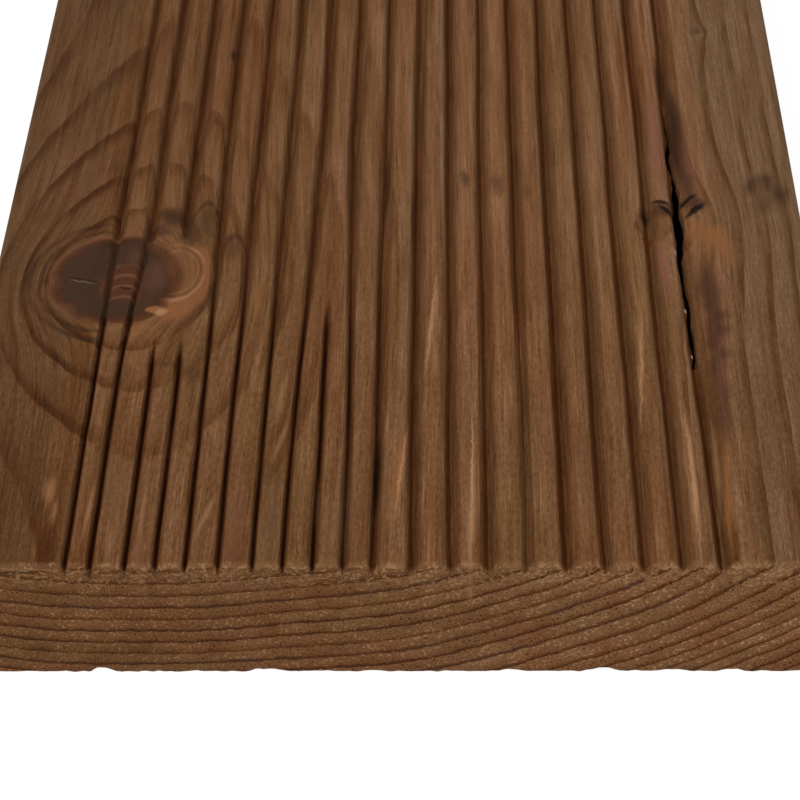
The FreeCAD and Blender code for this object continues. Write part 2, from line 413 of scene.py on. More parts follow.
def top_stations(y):
    """x of every station across the top, one row for each y."""
    lines, _ = groove_lines(y)
    gaps = lines[:-1, :, None] + (lines[1:] - lines[:-1])[:, :, None] * GAP_SHARES
    gaps = gaps.transpose(1, 0, 2).reshape(len(y), -1)
    flat_half = WIDTH / 2 - EDGE_EASE
    left = lines[0][:, None] - (lines[0] + flat_half)[:, None] * MARGIN_SHARES[::-1]
    right = lines[-1][:, None] + (flat_half - lines[-1])[:, None] * MARGIN_SHARES
    ease = np.broadcast_to(flat_half + EDGE_EASE * np.cos(EASE_TURNS), (len(y), len(EASE_TURNS)))
    return np.hstack([-ease, left, gaps, lines[-1][:, None], right, ease[:, ::-1]])


def rounded_off(past_flat):
    """How far an eased corner has fallen away, that far past the end of its flat: a quarter circle."""
    return EDGE_EASE - np.sqrt(np.maximum(EDGE_EASE**2 - np.maximum(past_flat, 0) ** 2, 0))


# Small damage: bites out of the arris at the sawn end, the ridges of the cut knot, and a
# saw's marks on the sawn end, which lie a little inside the square end.
NOTCHES = ((-48.9, 2.4, 1.2), (-21.5, 4.5, 0.7), (33.8, 3.0, 1.0), (18.5, 3.5, 0.45), (45.0, 3.0, 0.45), (55.0, 2.5, 0.4))
KNOT_X, KNOT_Y = -50.5, 64.6
KNOT_RX, KNOT_RY = 10.6, 10.2


def arris_bite(x):
    """Millimetres missing from the top arris of the sawn end at x: ragged, with some larger chips."""
    ragged = 0.3 + 0.16 * lumps(61, x / 0.9) + 0.12 * lumps(62, x / 0.4)
    chips = np.maximum(lumps(63, x / 2.3) - 0.3, 0) * 1.5
    return np.maximum(ragged, 0.05) + chips


def foot_bite(x):
    """Millimetres missing from the bottom edge of the sawn end at x."""
    bite = 0.12 + 0.12 * lumps(64, x / 1.3) + 0.2 * np.maximum(lumps(65, x / 2.6), 0)
    for middle, half, rise in NOTCHES:
        bite = bite + rise * eased(half - np.abs(x - middle), 0, half * 0.8)
    return bite


def saw_relief(x, z):
    """How far the sawn end lies inside the square end: saw marks and torn grain, 0 to 0.4 mm."""
    marks = 0.05 * lumps(71, x / 1.1, z / 9) + 0.05 * lumps(72, x / 0.9, z / 0.8)
    torn = 0.2 * np.maximum(lumps(73, x / 2.2, z / 0.9), 0) * eased(z, 18, 26)
    return 0.1 + marks + torn


def face_relief(x, y):
    """How far planed wood lies below the true face: knot ridges, a worn ring round the knot and grain."""
    across = (x - KNOT_X) / KNOT_RX
    along = (y[:, None] - KNOT_Y) / KNOT_RY
    out = np.hypot(across, along)
    ring = 0.12 * np.exp(-((out - 1.04) / 0.09) ** 2)
    rib = eased(2.6 - np.abs(x + 48.0), 0, 1.0) * eased(1 - out, 0, 0.25)
    high = eased(y, 57, 61) * eased(-y, -70, -66)
    ridges = 0.3 * rib * high[:, None] * (0.5 + 0.5 * np.sin(y[:, None] * 2.3 + 0.4 * (x + 48.6) ** 2))
    grain = 0.03 * (1 + lumps(81, x / 0.7, y[:, None] / 11))
    return ring + ridges + grain


rows = along_rows()
top_x = top_stations(rows)
SPANS = top_x.shape[1] - 1
top_x, check_depth = open_check(top_x, rows, groove_lines(rows)[0][-1])
flat_half = WIDTH / 2 - EDGE_EASE
top_z = THICKNESS - rounded_off(np.abs(top_x) - flat_half) - reeds(top_x, rows) - check_depth
top_z = top_z - face_relief(top_x, rows) * eased(flat_half - np.abs(top_x), 0, 1)
bite = arris_bite(top_x)
arris = bite * np.clip(1 - rows[:, None] / (0.3 + 1.3 * bite), 0, 1) ** 2 * eased(flat_half - np.abs(top_x), -1.5, 1)
top_z = top_z - arris
under_x = np.broadcast_to(top_stations(np.array([LENGTH]))[0], top_x.shape)
foot = np.maximum(foot_bite(under_x) - rows[:, None] * 0.35, 0) * eased(flat_half - np.abs(under_x), 0, 1)
under_z = rounded_off(np.abs(under_x) - flat_half) + foot
low_ease = EDGE_EASE * (1 - np.sin(np.array([EASE_TURNS[0], math.pi / 2 - EASE_TURNS[1]])))
flat_side = np.linspace(EDGE_EASE, THICKNESS - EDGE_EASE, SIDE_STEPS + 1)
heights = np.concatenate([low_ease, flat_side, THICKNESS - low_ease[::-1]])
RISES = len(heights) - 1
side_x = WIDTH / 2 - rounded_off(np.maximum(EDGE_EASE - heights, heights - THICKNESS + EDGE_EASE))

# The loop round the section: over the top from left to right, down the right side, back
# under the board and up the left side.
side_shape = (len(rows), RISES - 1)
right_x = np.broadcast_to(side_x[RISES - 1 : 0 : -1], side_shape)
right_z = np.broadcast_to(heights[RISES - 1 : 0 : -1], side_shape)
loop_x = np.hstack([top_x, right_x, under_x[:, ::-1], -right_x[:, ::-1]])
loop_z = np.hstack([top_z, right_z, under_z[:, ::-1], right_z[:, ::-1]])
ROUND = loop_x.shape[1]
relief = saw_relief(loop_x, loop_z)
near_end = np.clip(1 - rows[:, None] / ARRIS, 0, 1)
far_end = np.clip(1 - (LENGTH - rows[:, None]) / ARRIS, 0, 1)
loop_y = rows[:, None] + relief * (near_end - far_end)

# Each stretch of rows keeps only the stations that its surface needs.
EVERY, SECOND = np.arange(SPANS + 1), np.arange(0, SPANS + 1, 2)
FEW_UNDER = np.concatenate([[0, 1, 2], np.arange(20, SPANS - 19, 14), [SPANS - 2, SPANS - 1, SPANS]])


def kept_stations(top, side, under):
    """Places in the loop of the stations that a stretch keeps on the top, the sides and below."""
    right = SPANS + RISES - side[::-1]
    below = 2 * SPANS + RISES - under[::-1]
    left = 2 * SPANS + RISES + side
    return np.concatenate([top, right, below, left])


stretches = [
    (ARRIS_ROWS, kept_stations(EVERY, np.arange(1, RISES), EVERY)),
    (CLOSE_ROWS, kept_stations(EVERY, COARSE_SIDE, FEW_UNDER)),
    (LONG_ROWS, kept_stations(SECOND, COARSE_SIDE, FEW_UNDER)),
    (FAR_ROWS, kept_stations(SECOND, COARSE_SIDE, np.union1d(SECOND, FEW_UNDER))),
]
used = np.zeros(loop_x.shape, bool)
first = 0
for count, kept in stretches:
    used[first : first + count + 1, kept] = True
    first += count
number = np.full(loop_x.shape, -1)
number[used] = np.arange(used.sum())


def bridge(row, other, kept, turned):
    """Faces between a row with more stations and one that has only the kept ones.

    Each extra station is joined to the other row's kept station before it, as a fan.
    """
    extra = np.flatnonzero(row >= 0)
    before = kept[np.searchsorted(kept, extra, side="right") - 1]
    after = np.roll(kept, -1)
    fan = np.stack([row[extra], row[np.roll(extra, -1)], other[before]], 1)
    rest = np.stack([row[after], other[after], other[kept]], 1)
    triangles = np.concatenate([fan, rest])
    return (triangles[:, ::-1] if turned else triangles).tolist()


faces = []
first = 0
for count, kept in stretches:
    last = first + count
    start_extra = used[first].sum() > len(kept)
    end_extra = used[last].sum() > len(kept)
    if start_extra:
        faces += bridge(number[first], number[first + 1], kept, False)
    if end_extra:
        faces += bridge(number[last], number[last - 1], kept, True)
    even = number[first + start_extra : last + 1 - end_extra][:, kept]
    lower, upper = even[:-1], even[1:]
    quads = np.stack([lower, np.roll(lower, -1, 1), np.roll(upper, -1, 1), upper], -1)
    faces += quads.reshape(-1, 4).tolist()
    first = last
vertices = np.stack([loop_x[used], loop_y[used], loop_z[used]], 1)


def end_cap(row, columns, levels, first_number, inward):
    """Closes an end with a grid under its top profile. Gives its new vertices and its faces.

    A column runs from its station below to its station on top, and is drawn sideways as
    far as the board's sides stand out at that height.
    """
    across, up = np.meshgrid(columns, levels)
    rise = (heights[up] - heights[0]) / (heights[-1] - heights[0])
    x = (under_x[row][across] * (1 - rise) + top_x[row][across] * rise) * side_x[up] / side_x[0]
    z = under_z[row][across] * (1 - rise) + top_z[row][across] * rise
    y = rows[row] + saw_relief(x, z) * inward
    place = np.where(up == 0, 2 * SPANS + RISES - across, across)
    place = np.where((across == SPANS) & (up > 0), SPANS + RISES - up, place)
    place = np.where((across == 0) & (up < RISES), 2 * SPANS + RISES + up, place)
    rim = (up == 0) | (up == RISES) | (across == 0) | (across == SPANS)
    numbers = number[row][place % ROUND]
    numbers[~rim] = first_number + np.arange((~rim).sum())
    quads = np.stack([numbers[:-1, :-1], numbers[:-1, 1:], numbers[1:, 1:], numbers[1:, :-1]], -1)
    quads = quads.reshape(-1, 4)
    if inward < 0:
        quads = quads[:, ::-1]
    return np.stack([x[~rim], y[~rim], z[~rim]], 1), quads.tolist()


front_vertices, front_faces = end_cap(0, EVERY, np.arange(RISES + 1), len(vertices), 1)
vertices = np.concatenate([vertices, front_vertices])
far_levels = np.concatenate([[0], COARSE_SIDE, [RISES]])
back_vertices, back_faces = end_cap(len(rows) - 1, SECOND, far_levels, len(vertices), -1)
vertices = np.concatenate([vertices, back_vertices])
vertices = vertices * MM + np.array([0, board_low[1], board_low[2]])
board_mesh = bpy.data.meshes.new("reeded_board")
board_mesh.from_pydata(vertices.tolist(), [], faces + front_faces + back_faces)
board_mesh.shade_smooth()
board_mesh.set_sharp_from_angle(angle=math.radians(42))
# The bake map keeps more than half its height for the 150 mm next to the sawn end, and
# a strip each for the two ends. Round the section it gives the reeds double width.
NEAR_LENGTH, NEAR_SHARE, FAR_SHARE = 150.0, 0.58, 0.24
TOP_WEIGHT, UNDER_WEIGHT = 2.0, 0.5
SIDE_MARGIN = 0.01
FRONT_STRIP, FAR_STRIP = (0.84, 0.95), (0.96, 0.99)
section = np.stack([loop_x[ARRIS_ROWS + 9], loop_z[ARRIS_ROWS + 9]], 1)
steps = np.linalg.norm(np.roll(section, -1, 0) - section, axis=1)
steps[:SPANS] *= TOP_WEIGHT
steps[SPANS + RISES : 2 * SPANS + RISES] *= UNDER_WEIGHT
around = np.concatenate([[0], np.cumsum(steps)])
around = SIDE_MARGIN + around / around[-1] * (1 - 2 * SIDE_MARGIN)
vertex_column = np.zeros(len(vertices), int)
vertex_column[: used.sum()] = np.nonzero(used)[1]
corner_vertex = np.empty(len(board_mesh.loops), np.int32)
board_mesh.loops.foreach_get("vertex_index", corner_vertex)
corner_count = np.empty(len(board_mesh.polygons), np.int32)
board_mesh.polygons.foreach_get("loop_total", corner_count)
corner_face = np.repeat(np.arange(len(corner_count)), corner_count)
first_corner = np.cumsum(corner_count) - corner_count
corner_x, corner_y, corner_z = (vertices[corner_vertex] / MM - np.array([0, board_low[1], board_low[2]]) / MM).T
column = vertex_column[corner_vertex]
over_seam = np.maximum.reduceat(column, first_corner) - np.minimum.reduceat(column, first_corner) > ROUND / 2
map_u = around[np.where(over_seam[corner_face] & (column == 0), ROUND, column)]
far = np.maximum(corner_y - NEAR_LENGTH, 0) / (LENGTH - NEAR_LENGTH)
map_v = np.minimum(corner_y / NEAR_LENGTH, 1) * NEAR_SHARE + far * FAR_SHARE + SIDE_MARGIN
on_front = (corner_face >= len(faces)) & (corner_face < len(faces) + len(front_faces))
on_back = corner_face >= len(faces) + len(front_faces)
across_end = SIDE_MARGIN + (corner_x / WIDTH + 0.5) * (1 - 2 * SIDE_MARGIN)
map_u = np.where(on_front | on_back, across_end, map_u)
for on_end, (strip_low, strip_high) in ((on_front, FRONT_STRIP), (on_back, FAR_STRIP)):
    map_v = np.where(on_end, strip_low + corner_z / THICKNESS * (strip_high - strip_low), map_v)
bake_map = board_mesh.uv_layers.new(name="OFBake")
bake_map.data.foreach_set("uv", np.stack([map_u, map_v], 1).astype(np.float32).ravel())
board = bpy.data.objects.new("reeded_board", board_mesh)
bpy.context.scene.collection.objects.link(board)
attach(board, "root")
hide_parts("deck_board")

# The wood
# Flat sawn softwood: its growth rings are shells round a heart line that runs above the
# board, so the arcs on the sawn end and the figure on the face are one pattern. The
# brown treatment has soaked in, darker in the late wood; the grooves are painted darker with depth, as stain and as
# painted shade.
HEART_X, HEART_Z = -40.0, 136.0
HEART_DRIFT, HEART_RISE = 0.010, 0.010
FIRST_RING, RING_WIDTH = 115.4, 3.11
WIDE_RINGS, WIDE_REACH, WIDENING = 150.5, 13.0, 1.7
STEP_FROM, STEP_TO, STEP = -24.0, 8.0, 2.7

softwood, softwood_shader, start = new_material("treated_softwood")
softwood_shader.inputs["Specular IOR Level"].default_value = 0.06
spot = start.node("ShaderNodeTexCoord", output="Object")
spot = spot.node("ShaderNodeVectorMath", {"operation": "MULTIPLY_ADD"},
                 {0: spot, 1: (1 / MM, 1 / MM, 1 / MM), 2: (0, -board_low[1] / MM, 0)})
x, y, z = spot.parts()
x_facing, y_facing, z_facing = start.node("ShaderNodeTexCoord", output="Normal").parts()
end_grain = abs(y_facing).ramp(0.55, 0.8)
long_grain = 1 - end_grain
upward = z_facing.ramp(0.05, 0.3) * long_grain
below_face = THICKNESS - z
reeded = abs(x).ramp(58, 55)

# Branches: the middle x and y of each on the face, its half width and half length, how
# many rings it pushes out close by and far off, and how far the far push reaches across,
# up the board and down it.
BRANCHES = (
    (KNOT_X, KNOT_Y, KNOT_RX, KNOT_RY, 1.4, 3.0, 24.0, 34.0, 25.0),
    (51.0, 79.0, 2.6, 3.6, 0.7, 0.6, 13.0, 10.0, 15.0),
    (-33.9, 129.2, 0.7, 1.3, 0.4, 0.2, 3.0, 7.0, 7.0),
    (58.3, 135.0, 0.8, 0.8, 0.4, 0.2, 3.0, 6.0, 6.0),
)
BRANCH_LEAN = 0.117
NEAR_FADE = 1.2
at_x, at_y, at_z = (vertices / MM - np.array([0, board_low[1] / MM, board_low[2] / MM])).T
pushed = np.zeros_like(at_x)
bend = np.zeros_like(at_x)
for middle_x, middle_y, half_x, half_y, near_push, far_push, far_x, far_up, far_down in BRANCHES:
    lean = BRANCH_LEAN if middle_x < HEART_X else -BRANCH_LEAN
    off_x = at_x - middle_x + (THICKNESS - at_z) * lean
    off_y = at_y - middle_y
    outside = np.maximum(np.hypot(off_x / half_x, off_y / half_y), 1)
    far_y = np.where(off_y > 0, far_up, far_down)
    pushed = pushed + near_push * np.exp(NEAR_FADE * (1 - outside))
    pushed = pushed + far_push * np.exp(-0.5 * ((off_x / far_x) ** 2 + (off_y / far_y) ** 2))
    bend = bend - off_x / outside**2
pushed = pushed + 0.13 * lumps(97, at_x / 14, at_y / 400, at_z / 14)


def at_vertices(name, values):
    """Stores values, or vectors, at the board's vertices under a name, and gives their shader node."""
    vectors = values.ndim == 2
    stored = board_mesh.attributes.new(name, "FLOAT_VECTOR" if vectors else "FLOAT", "POINT")
    stored.data.foreach_set("vector" if vectors else "value", values.astype(np.float32).ravel())
    return start.node("ShaderNodeAttribute", {"attribute_name": name}, output="Color" if vectors else "Fac")


pushed_out = at_vertices("pushed_out", pushed)
bent_x = x + at_vertices("bend", bend)

# Fibres run along the board and part round the branches like water round a post.
flow = start.node("ShaderNodeCombineXYZ", inputs={0: bent_x, 1: y, 2: z})
fibre = flow.noise((0.30, 9, 0.30), 3.0, 0.72)
streak = flow.noise((1.1, 40, 1.1), 2.0, 0.65)
strand = flow.noise((0.40, 10, 0.40), 2.0)
pale_fibre = strand.ramp(0.58, 0.70)
dark_fibre = strand.ramp(0.42, 0.30)
mottle = spot.noise((9, 18, 9), 2.0, 0.65)
fleck = spot.noise((0.45, 1.2, 0.45), 1.0, 0.8)

# Rings, counted outwards from the heart.
from_heart_x = x - HEART_X - y * HEART_DRIFT
at_lip = x.ramp(-51.2, -51.8) * below_face.ramp(5, 3) * long_grain
from_heart_z = HEART_Z + y * HEART_RISE - z - at_lip * below_face
radius = (from_heart_x * from_heart_x + from_heart_z * from_heart_z) ** 0.5 - x.ramp(STEP_FROM, STEP_TO) * STEP
rings = (radius - radius.peak(WIDE_RINGS, WIDE_REACH) * WIDENING - FIRST_RING) / RING_WIDTH - pushed_out
rings = rings + (spot.noise((3.5, 18, 3.5), 2.0, 0.65) - 0.5) * (0.18 + end_grain * 0.16)
phase = rings.math("FRACT")
chance = start.node("ShaderNodeTexWhiteNoise", {"noise_dimensions": "1D"}, {"W": rings.math("FLOOR")})
late_line = phase.ramp(0.64, 0.92) * phase.ramp(1.0, 0.95) * (chance * 0.4 + 0.6)
late_band = phase.ramp(0.1, 0.9) * phase.ramp(1.0, 0.96)
figure = 0.4 + mottle.ramp(0.38, 0.58, 0.6)

# Cut across, the fibres are pits and torn ends in rows that point at the heart.
angle = from_heart_x.math("ARCTAN2", from_heart_z) * 140.0
rays = start.node("ShaderNodeCombineXYZ", inputs={0: angle, 1: radius, 2: y})
grit = rays.noise((0.34, 0.44, 1.0), 2.0, 0.8)
heart_x, heart_z = at_x - HEART_X - at_y * HEART_DRIFT, HEART_Z + at_y * HEART_RISE - at_z
turned = np.arctan2(heart_x, heart_z) * 140.0
clump = at_vertices("clump", 0.5 + 0.27 * lumps(98, turned / 2.8, np.hypot(heart_x, heart_z) / 1.6))
pits = rays.noise((0.42, 0.6, 1.0), 1.0).ramp(0.40, 0.30) * clump.ramp(0.42, 0.56)
torn_fibre = rays.noise((0.6, 0.7, 1.0), 1.0, 0.65)
torn = torn_fibre.ramp(0.54, 0.66) * clump.ramp(0.60, 0.44)
wide_late = rings.peak(0.9, 0.2) + rings.peak(5.9, 0.24) + rings.peak(7.92, 0.14)

# How pale the wood is, as a share of its palest: the face, then the sawn end.
front = y.ramp(95, 15)
face = (0.58 + 0.22 * x.ramp(-60, 45)) * (1 - front * (0.03 + 0.10 * x.ramp(-35, 15)))
face = face * (1 + (fibre - 0.5) * 0.66 + (streak - 0.5) * 0.95 + (mottle - 0.5) * 0.5)
face = face * (1 + (fleck - 0.5) * (0.45 + front * 0.4) + pale_fibre * (0.16 + front * 0.16) - dark_fibre * 0.26)
lines = late_line * (0.28 + x.ramp(-46, -56) * 0.3 + x.ramp(52, 58) * 0.12) + late_band * 0.12
face = face * (1 - lines * figure)
# Rib edges facing right are painted lighter, as painted highlight and wear; shoulders facing left are painted darker,
# as painted shade.
lit_and_worn_edge = x_facing.ramp(0.08, 0.4) * below_face.ramp(0.9, 0.3)
shaded_left_edge = x_facing.ramp(-0.08, -0.5) * below_face.ramp(1.4, 0.5)
face = face * (1 + (lit_and_worn_edge * 0.14 - shaded_left_edge * 0.2) * reeded)
face = face * (1 - x.ramp(-51, -54) * (0.15 + front * 0.1)) * (1 - x.ramp(54, 58) * 0.15)
face = face * (1 - x.peak(27, 15) * 0.13 - x.peak(-24, 14) * front * 0.1)
end = (0.61 + 0.14 * x.ramp(-60, 50)) * (1 - late_line * 0.5 - late_band * 0.18) * (1 + (mottle - 0.5) * 0.7)
end = end * (1 + (grit - 0.5) * (0.75 + clump.ramp(0.35, 0.6) * 1.2) + torn * 0.75 - pits * 0.65)
pale = (face * long_grain + end * end_grain).math("MAXIMUM", 0.01)

# Brown stain takes green out faster than red, and blue faster still.
PALEST = shown(140, 105, 77)
GREEN_POWER, BLUE_POWER = 1.36, 1.95
channels = {0: pale * PALEST[0], 1: pale ** GREEN_POWER * PALEST[1], 2: pale ** BLUE_POWER * PALEST[2]}
wood = start.node("ShaderNodeCombineColor", {"mode": "RGB"}, channels)
tints = 0.25 * lumps(95, at_x / 7, at_y / 60, at_z / 7) + 0.1 * lumps(96, at_x / 3.5, at_y / 30, at_z / 3.5)
tint = at_vertices("tint", 0.5 + tints)
red = tint.ramp(0.5, 0.68, 0.45)
wood = red.paint(wood, (1.04, 0.86, 0.76), "MULTIPLY")
olive = tint.ramp(0.47, 0.32, 0.5)
wood = olive.paint(wood, (0.93, 0.98, 0.84), "MULTIPLY")
wood = (end_grain * 0.8).paint(wood, (1.02, 0.98, 0.86), "MULTIPLY")
wood = ((1 - reeded) * upward).paint(wood, (0.93, 1.04, 1.20), "MULTIPLY")
wood = (wide_late.math("MINIMUM", 1.0) * mottle.ramp(0.45, 0.58) * end_grain * 0.7).paint(wood, shown(66, 40, 32))

# The grooves are painted darker with depth, most on the left near the sawn end: pooled treatment and painted shade
# together.
# Their left facing walls are painted less dark, as painted light.
left_facing = x_facing.ramp(-0.1, -0.6)
depth_shade_and_stain = below_face.ramp(0.45, 1.75) * upward * reeded
groove_shade_and_stain = depth_shade_and_stain * (1 - left_facing * 0.4) * (0.55 + streak * 0.75)
# Extra painted shade and stain in the narrow grooves on the left near the sawn end.
narrow = x.ramp(5, -15) * y.ramp(70, 45) * depth_shade_and_stain
wood = groove_shade_and_stain.paint(wood, (0.40, 0.24, 0.08), "MULTIPLY")
wood = narrow.paint(wood, (0.58, 0.38, 0.18), "MULTIPLY")

TAN, ORANGE, DARK, BLACK = shown(166, 122, 86), shown(138, 90, 52), shown(50, 29, 16), shown(22, 9, 4)
ROSE, PURPLE, RESIN, RUST = shown(126, 82, 62), shown(66, 38, 25), shown(200, 184, 166), shown(98, 46, 24)
ASH = shown(102, 78, 57)

# The cut branch on the left: grey flats, a red ridged rib between two grooves, a red rim
# and an orange collar on its right.
COLLAR_X, COLLAR_Y = -39.9, 66.5
COLLAR_RX, COLLAR_RY = 5.0, 7.1
uneven = lumps(94, at_x / 3.2, at_y / 3.2) + 0.6 * lumps(99, at_x / 1.7, at_y / 1.7)
ragged_edge = at_vertices("ragged_edge", uneven)
knot_x = (at_x - KNOT_X + (THICKNESS - at_z) * BRANCH_LEAN) / KNOT_RX
true_oval = at_vertices("true_oval", np.hypot(knot_x, (at_y - KNOT_Y) / KNOT_RY) + 0.03 * uneven)
knot = true_oval + ragged_edge * 0.05
core = knot.ramp(1.03, 0.96) * upward
rim = knot.peak(1.0, 0.2) * upward
collar_out = np.hypot((at_x - COLLAR_X) / COLLAR_RX, (at_y - COLLAR_Y) / COLLAR_RY)
toward_foot = np.clip((COLLAR_Y - at_y) / COLLAR_RY / np.maximum(collar_out, 0.1), 0, 1)
collar_out = np.minimum(collar_out, 1 + (collar_out - 1) * (1 - 0.6 * toward_foot))
collar = at_vertices("collar", collar_out + 0.05 * uneven)
low_right = x.ramp(-42.5, -40) * y.ramp(75, 71) * upward
red_rib = abs(x + 48.6).ramp(3.6, 2.2) * y.plateau(60.5, 67.5, 1.5)
reddish = red_rib.math("MAXIMUM", knot.ramp(0.88, 1.0))
core_colour = reddish.paint(shown(58, 39, 26), shown(76, 42, 25))
core_colour = fleck.ramp(0.4, 0.65).paint(core_colour, (0.80, 0.76, 0.74), "MULTIPLY")
arcs = (y * 2.3 + (x + 48.6) ** 2.0 * 0.4 + 0.7).math("SINE").ramp(0.0, 1.0)
arcs = arcs * abs(x + 48.6).ramp(2.6, 1.8) * y.plateau(61, 66.5, 3)
core_colour = (arcs * 0.5).paint(core_colour, shown(116, 78, 60))
orange = collar.ramp(1.4, 1.2) * (0.32 + collar.ramp(0.8, 1.1, 0.6)) * low_right
wood = orange.paint(wood, shown(130, 82, 50))
dark_rings = (collar.peak(1.36, 0.13) + collar.peak(0.86, 0.1) * 0.4) * low_right
wood = (dark_rings * mottle.ramp(0.3, 0.6) * 0.45).paint(wood, DARK)
pale_rings = (collar.peak(1.0, 0.09) + collar.peak(0.78, 0.07) * 0.5) * low_right
wood = (pale_rings * ragged_edge.ramp(-1.2, 0.5)).paint(wood, shown(156, 110, 78))
worn_rings = (true_oval.peak(1.27, 0.07) + true_oval.peak(1.46, 0.09)) * x.ramp(-50, -54)
wood = (worn_rings * mottle.ramp(0.25, 0.65) * upward * 0.75).paint(wood, DARK)
wood = (rim * 0.7).paint(wood, shown(74, 40, 24))
upper_left = (x.ramp(-54, -58) + y.ramp(69, 73)).math("MINIMUM", 1.0) * upward
wood = (true_oval.peak(1.13, 0.09) * upper_left * 0.4).paint(wood, shown(126, 84, 58))
wood = (core * 0.9).paint(wood, core_colour)
# Grooves through the knot core are painted darker with depth: stain and painted shade.
wood = (depth_shade_and_stain * core).paint(wood, (0.4, 0.3, 0.25), "MULTIPLY")

# Marks on the face: the middle x and y of each, its half width and half length, its turn
# in degrees, its colour and how much of it shows.
STREAKS = (
    (5.5, 53.0, 0.7, 15.0, -5, TAN, 0.6),
    (6.4, 47.0, 0.4, 12.0, -4, TAN, 0.4),
    (12.0, 12.0, 0.7, 18.0, -1, TAN, 0.75),
    (13.2, 16.0, 0.5, 12.0, -1, ORANGE, 0.5),
    (47.7, 17.0, 0.6, 18.0, 0, TAN, 0.95),
    (46.9, 25.0, 0.4, 10.0, 0, TAN, 0.5),
    (53.0, 15.0, 0.9, 15.0, -2, ORANGE, 0.8),
    (51.6, 20.0, 0.5, 14.0, 0, TAN, 0.45),
    (-25.0, 59.0, 0.8, 6.0, 0, ORANGE, 0.7),
    (0.4, 19.0, 1.2, 13.0, -3, ORANGE, 0.6),
    (1.3, 22.0, 0.5, 9.0, -3, TAN, 0.4),
    (40.8, 44.0, 0.6, 19.0, -4, TAN, 0.55),
    (42.0, 55.0, 0.5, 12.0, -4, ORANGE, 0.5),
    (36.2, 56.0, 0.8, 12.0, 0, ORANGE, 0.45),
    (18.6, 37.0, 0.5, 9.0, 0, TAN, 0.4),
    (13.0, 110.0, 0.6, 20.0, 0, TAN, 0.35),
    (0.8, 110.0, 0.8, 12.0, 2, ROSE, 0.6),
    (-17.8, 132.0, 0.6, 8.0, 8, ROSE, 0.7),
    (-19.3, 36.0, 0.6, 8.0, -6, TAN, 0.4),
    (-24.0, 44.0, 0.4, 8.0, -8, TAN, 0.4),
    (-12.5, 14.0, 0.4, 8.0, 2, TAN, 0.3),
    (-55.0, 15.0, 0.6, 8.0, 6, ORANGE, 0.5),
    (-56.5, 18.0, 0.5, 6.0, 8, TAN, 0.3),
    (-48.8, 10.7, 0.5, 8.0, -3, TAN, 0.45),
    (-54.6, 13.0, 0.5, 6.0, 8, TAN, 0.4),
    (-44.9, 5.0, 0.5, 6.0, 0, TAN, 0.4),
    (-40.2, 10.6, 0.5, 7.0, 0, TAN, 0.4),
    (-29.9, 10.2, 0.6, 6.0, -18, TAN, 0.45),
    (-19.2, 26.0, 0.6, 6.0, -14, TAN, 0.45),
    (47.6, 102.0, 1.8, 24.0, 0, ROSE, 0.9),
    # A dark band painted as shade on the groove wall right of the check.
    (51.6, 103.0, 2.0, 24.0, 1, DARK, 0.95),
    (49.8, 121.0, 1.8, 8.0, 0, DARK, 0.7),
    (46.8, 68.0, 1.2, 13.0, 0, ROSE, 0.8),
    (53.6, 94.0, 1.8, 12.0, 0, ROSE, 0.4),
    (21.0, 96.0, 1.0, 10.0, 0, DARK, 0.3),
    (-3.1, 20.0, 0.9, 12.0, 0, BLACK, 0.85),
    (-2.9, 90.0, 0.8, 14.0, 0, BLACK, 0.6),
    (2.3, 82.0, 0.7, 14.0, 0, BLACK, 0.45),
    (-10.0, 96.0, 0.7, 20.0, 1, BLACK, 0.35),
    (-46.2, 78.0, 0.8, 6.0, 0, BLACK, 0.4),
)
